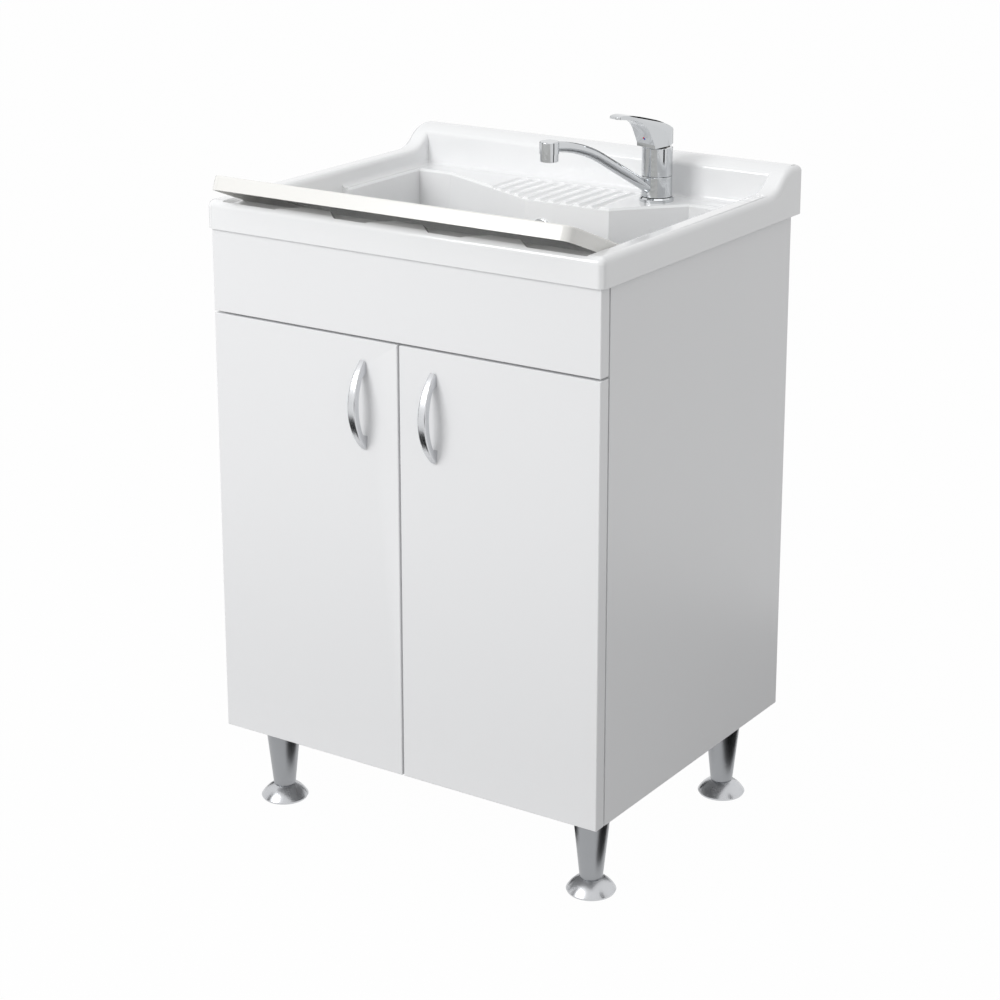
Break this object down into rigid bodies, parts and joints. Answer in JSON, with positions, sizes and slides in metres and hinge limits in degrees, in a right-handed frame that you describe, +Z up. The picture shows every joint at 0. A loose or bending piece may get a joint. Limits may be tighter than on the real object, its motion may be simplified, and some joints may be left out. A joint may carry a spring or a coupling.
{
  "type": "utility laundry sink",
  "caption": "Freestanding laundry sink: moulded basin with back splash and sliding washboard, lever mixer tap, two-door cabinet on adjustable legs.",
  "frame": {"origin": "on the floor, at the middle of the whole object's width and depth", "axes": "+X to the right seen from the front, +Y to the wall behind, +Z up"},
  "size_m": [0.6, 0.53, 0.9508],
  "materials": {
    "sink_gloss": "glossy moulded white",
    "washboard_gloss": "glossy moulded white",
    "cabinet_laminate": "white laminated board",
    "handle_metal": "satin",
    "leg_metal": "satin",
    "foot_metal": "satin",
    "hinge_steel": "nickel plated",
    "screw_steel": "zinc plated",
    "strainer_steel": "polished",
    "tap_chrome": "polished",
    "tap_brass": "turned",
    "cartridge_plastic": "moulded",
    "waste_plastic": "white moulded",
    "leg_plate_plastic": "black moulded",
    "seal_rubber": "moulded",
    "pad_rubber": "clear bumper",
    "index_red": "moulded"
  },
  "bodies": {
    "root": {"back_rail_lower": "cabinet_laminate", "back_rail_upper": "cabinet_laminate", "bottle_trap": "waste_plastic", "bottom_panel": "cabinet_laminate", "cartridge_nut": "tap_brass", "door_pads": "pad_rubber", "fascia_panel": "cabinet_laminate", "fascia_screws": "screw_steel", "fascia_spacers": "leg_plate_plastic", "front_rail": "cabinet_laminate", "hinge_arms": "hinge_steel", "hinge_plates": "hinge_steel", "hinge_screws": "screw_steel", "leg_front_left": "leg_metal", "leg_front_right": "leg_metal", "leg_plates": "leg_plate_plastic", "leg_rear_left": "leg_metal", "leg_rear_right": "leg_metal", "leg_screws": "screw_steel", "outlet_pipe": "waste_plastic", "overflow_elbow": "waste_plastic", "overflow_pipe": "waste_plastic", "overflow_rosette": "tap_chrome", "overflow_screw": "screw_steel", "side_panel_left": "cabinet_laminate", "side_panel_right": "cabinet_laminate", "sink_top": "sink_gloss", "tap_base_ring": "tap_chrome", "tap_body": "tap_chrome", "tap_cartridge": "cartridge_plastic", "tap_clamp": "screw_steel", "tap_gasket": "seal_rubber", "tap_nut": "tap_brass", "tap_stud": "screw_steel", "trap_cup": "waste_plastic", "trap_nuts": "waste_plastic", "waste_body": "waste_plastic", "waste_screw": "screw_steel", "waste_seal": "seal_rubber", "waste_strainer": "strainer_steel"},
    "door_left": {"door_left": "cabinet_laminate", "handle_left": "handle_metal", "hinge_cups_left": "hinge_steel", "door_screws_left": "screw_steel"},
    "door_right": {"door_right": "cabinet_laminate", "handle_right": "handle_metal", "hinge_cups_right": "hinge_steel", "door_screws_right": "screw_steel"},
    "spout": {"tap_spout": "tap_chrome", "tap_aerator": "tap_chrome"},
    "lever_turntable": {"tap_spindle": "tap_brass"},
    "lever": {"tap_lever": "tap_chrome", "lift_pin": "screw_steel", "index_button": "index_red"},
    "washboard": {"washboard": "washboard_gloss"},
    "foot_front_left": {"foot_front_left": "foot_metal"},
    "foot_front_right": {"foot_front_right": "foot_metal"},
    "foot_rear_left": {"foot_rear_left": "foot_metal"},
    "foot_rear_right": {"foot_rear_right": "foot_metal"}
  },
  "joints": [
    {"name": "door_left_hinge", "type": "hinge", "parent": "root", "child": "door_left", "pos_m": [-0.288, -0.222, 0.411], "axis": [0, 0, -1], "range_deg": [0, 100]},
    {"name": "door_right_hinge", "type": "hinge", "parent": "root", "child": "door_right", "pos_m": [0.288, -0.222, 0.411], "axis": [0, 0, 1], "range_deg": [0, 100]},
    {"name": "spout_swivel", "type": "hinge", "parent": "root", "child": "spout", "pos_m": [0.129, 0.181, 0.848], "axis": [0, 0, 1], "range_deg": [-80, 100]},
    {"name": "lever_swing", "type": "hinge", "parent": "root", "child": "lever_turntable", "pos_m": [0.129, 0.181, 0.894], "axis": [0, 0, 1], "range_deg": [-45, 45]},
    {"name": "lever_lift", "type": "hinge", "parent": "lever_turntable", "child": "lever", "pos_m": [0.13069, 0.18676, 0.91], "axis": [-0.9593, 0.2823, 0], "range_deg": [0, 22]},
    {"name": "washboard_slide", "type": "slide", "parent": "root", "child": "washboard", "axis": [0, -0.9304, 0.3665], "range_m": [0, 0.25]},
    {"name": "foot_front_left_level", "type": "slide", "parent": "root", "child": "foot_front_left", "axis": [0, 0, 1], "range_m": [-0.015, 0]},
    {"name": "foot_front_right_level", "type": "slide", "parent": "root", "child": "foot_front_right", "axis": [0, 0, 1], "range_m": [-0.015, 0]},
    {"name": "foot_rear_left_level", "type": "slide", "parent": "root", "child": "foot_rear_left", "axis": [0, 0, 1], "range_m": [-0.015, 0]},
    {"name": "foot_rear_right_level", "type": "slide", "parent": "root", "child": "foot_rear_right", "axis": [0, 0, 1], "range_m": [-0.015, 0]}
  ]
}
